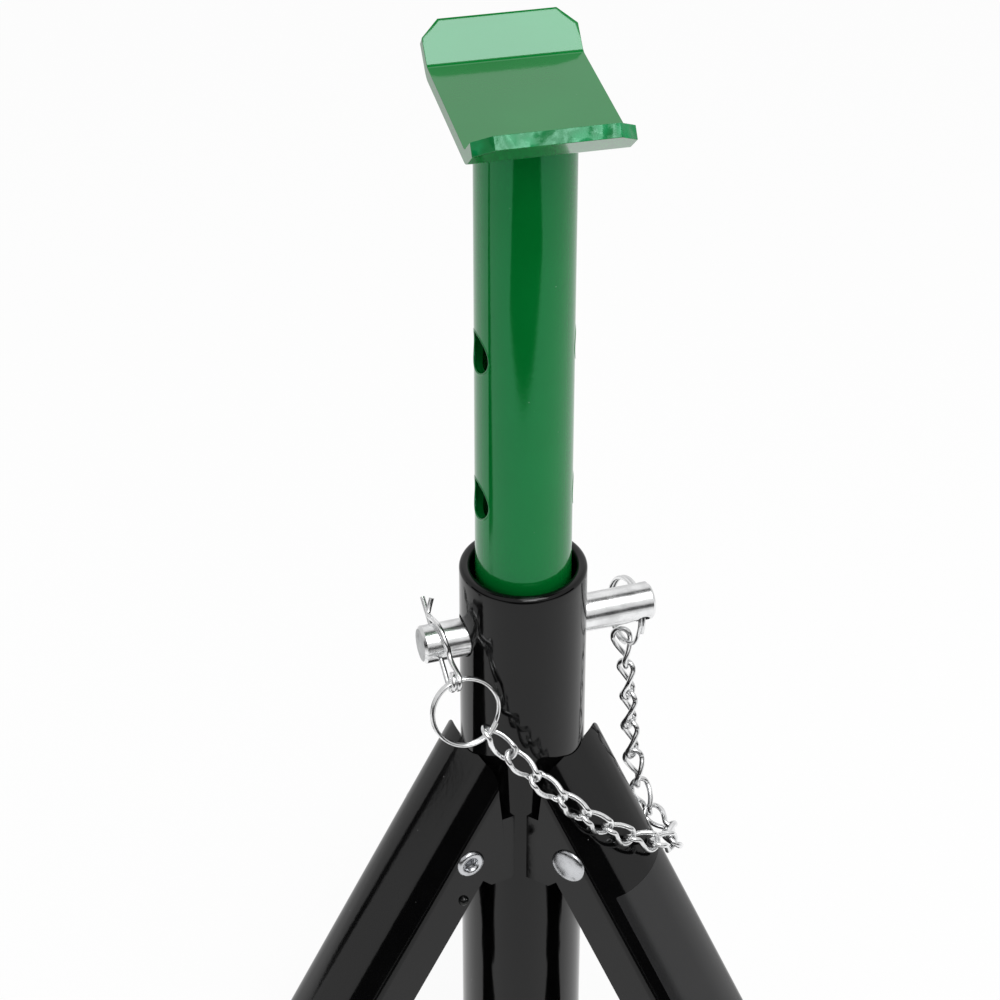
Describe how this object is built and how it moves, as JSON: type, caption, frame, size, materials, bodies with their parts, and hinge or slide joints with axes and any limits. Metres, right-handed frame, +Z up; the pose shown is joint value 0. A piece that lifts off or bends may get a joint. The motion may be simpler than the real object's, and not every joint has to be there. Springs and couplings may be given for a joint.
{
  "type": "axle stand",
  "caption": "Folding tripod axle stand: bent saddle on a drilled column, cross pin with spring clip and chain, channel legs on riveted brackets.",
  "frame": {"origin": "on the centre tube's axis at floor level, under the open feet", "axes": "+Z up along the column, -Y towards the viewer between two legs, +X to the viewer's right"},
  "size_m": [0.262, 0.2291, 0.4509],
  "materials": {
    "black_paint": "gloss black enamel",
    "green_paint": "gloss green enamel",
    "zinc_plate": "bright zinc plate"
  },
  "bodies": {
    "stand": {"centre_tube": "black_paint", "pivot_bracket_a": "black_paint", "pivot_bracket_b": "black_paint", "pivot_bracket_c": "black_paint", "bracket_weld_a": "black_paint", "bracket_weld_b": "black_paint", "bracket_weld_c": "black_paint"},
    "leg_a": {"leg_a": "black_paint", "foot_a": "black_paint", "foot_weld_a": "black_paint", "pivot_rivet_a": "zinc_plate"},
    "leg_b": {"leg_b": "black_paint", "foot_b": "black_paint", "foot_weld_b": "black_paint", "pivot_rivet_b": "zinc_plate"},
    "leg_c": {"leg_c": "black_paint", "foot_c": "black_paint", "foot_weld_c": "black_paint", "pivot_rivet_c": "zinc_plate"},
    "column": {"column_tube": "green_paint", "saddle_plate": "green_paint", "saddle_weld": "green_paint"},
    "pin": {"lock_pin": "zinc_plate", "pin_ring": "zinc_plate", "chain": "zinc_plate"},
    "clip": {"r_clip": "zinc_plate", "clip_ring": "zinc_plate"}
  },
  "joints": [
    {"name": "leg_fold_a", "type": "hinge", "parent": "stand", "child": "leg_a", "pos_m": [0, 0.0333, 0.144], "axis": [-1, 0, 0], "range_deg": [0, 32]},
    {"name": "leg_fold_b", "type": "hinge", "parent": "stand", "child": "leg_b", "pos_m": [-0.02884, -0.01665, 0.144], "axis": [0.5, -0.866, 0], "range_deg": [0, 32]},
    {"name": "leg_fold_c", "type": "hinge", "parent": "stand", "child": "leg_c", "pos_m": [0.02884, -0.01665, 0.144], "axis": [0.5, 0.866, 0], "range_deg": [0, 32], "deforming": ["chain"]},
    {"name": "column_lift", "type": "slide", "parent": "stand", "child": "column", "axis": [0, 0, 1], "range_m": [0, 0.001]},
    {"name": "pin_slide", "type": "slide", "parent": "stand", "child": "pin", "axis": [0.9397, 0.342, 0], "range_m": [-0.012, 0.001], "deforming": ["chain"]},
    {"name": "clip_pull", "type": "slide", "parent": "pin", "child": "clip", "axis": [0.2991, -0.8219, -0.4848], "range_m": [0, 0.03], "deforming": ["r_clip", "chain"]}
  ]
}
